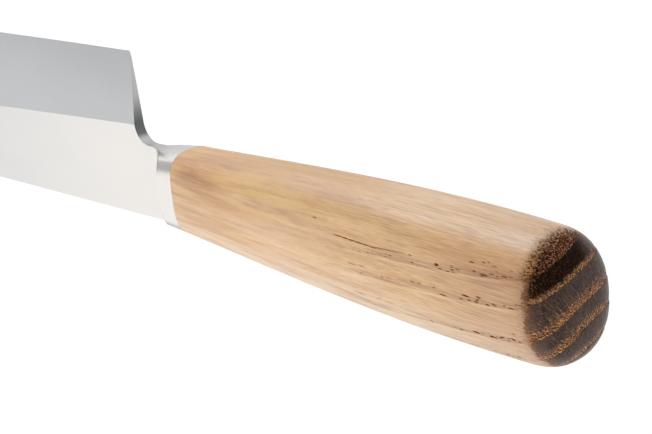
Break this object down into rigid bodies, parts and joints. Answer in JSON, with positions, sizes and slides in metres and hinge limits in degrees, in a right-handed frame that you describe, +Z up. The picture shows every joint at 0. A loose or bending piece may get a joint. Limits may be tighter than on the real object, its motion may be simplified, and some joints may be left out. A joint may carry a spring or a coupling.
{
  "type": "yanagiba knife",
  "caption": "Long single-bevel slicing knife with a rounded steel bolster and a smooth one-piece wooden handle, scorched dark at the butt.",
  "frame": {"origin": "bottom centre of the bounding box, on the board that the knife lies on", "axes": "+X runs from the butt to the tip, +Y from the cutting edge to the spine, +Z up through the bevelled side; the knife lies on its flat back, touching with the handle's belly and the tip"},
  "size_m": [0.4084, 0.0456, 0.0212],
  "materials": {
    "blade_steel": "polished flat, fine satin bevel",
    "bolster_steel": "polished",
    "tang_steel": "plain mill finish, hidden",
    "epoxy": "cured resin, hidden",
    "handle_wood": "sanded and oiled, butt end scorched and brushed"
  },
  "bodies": {
    "root": {"blade": "blade_steel", "bolster": "bolster_steel", "tang": "tang_steel", "tang_adhesive": "epoxy", "handle": "handle_wood"}
  },
  "joints": []
}
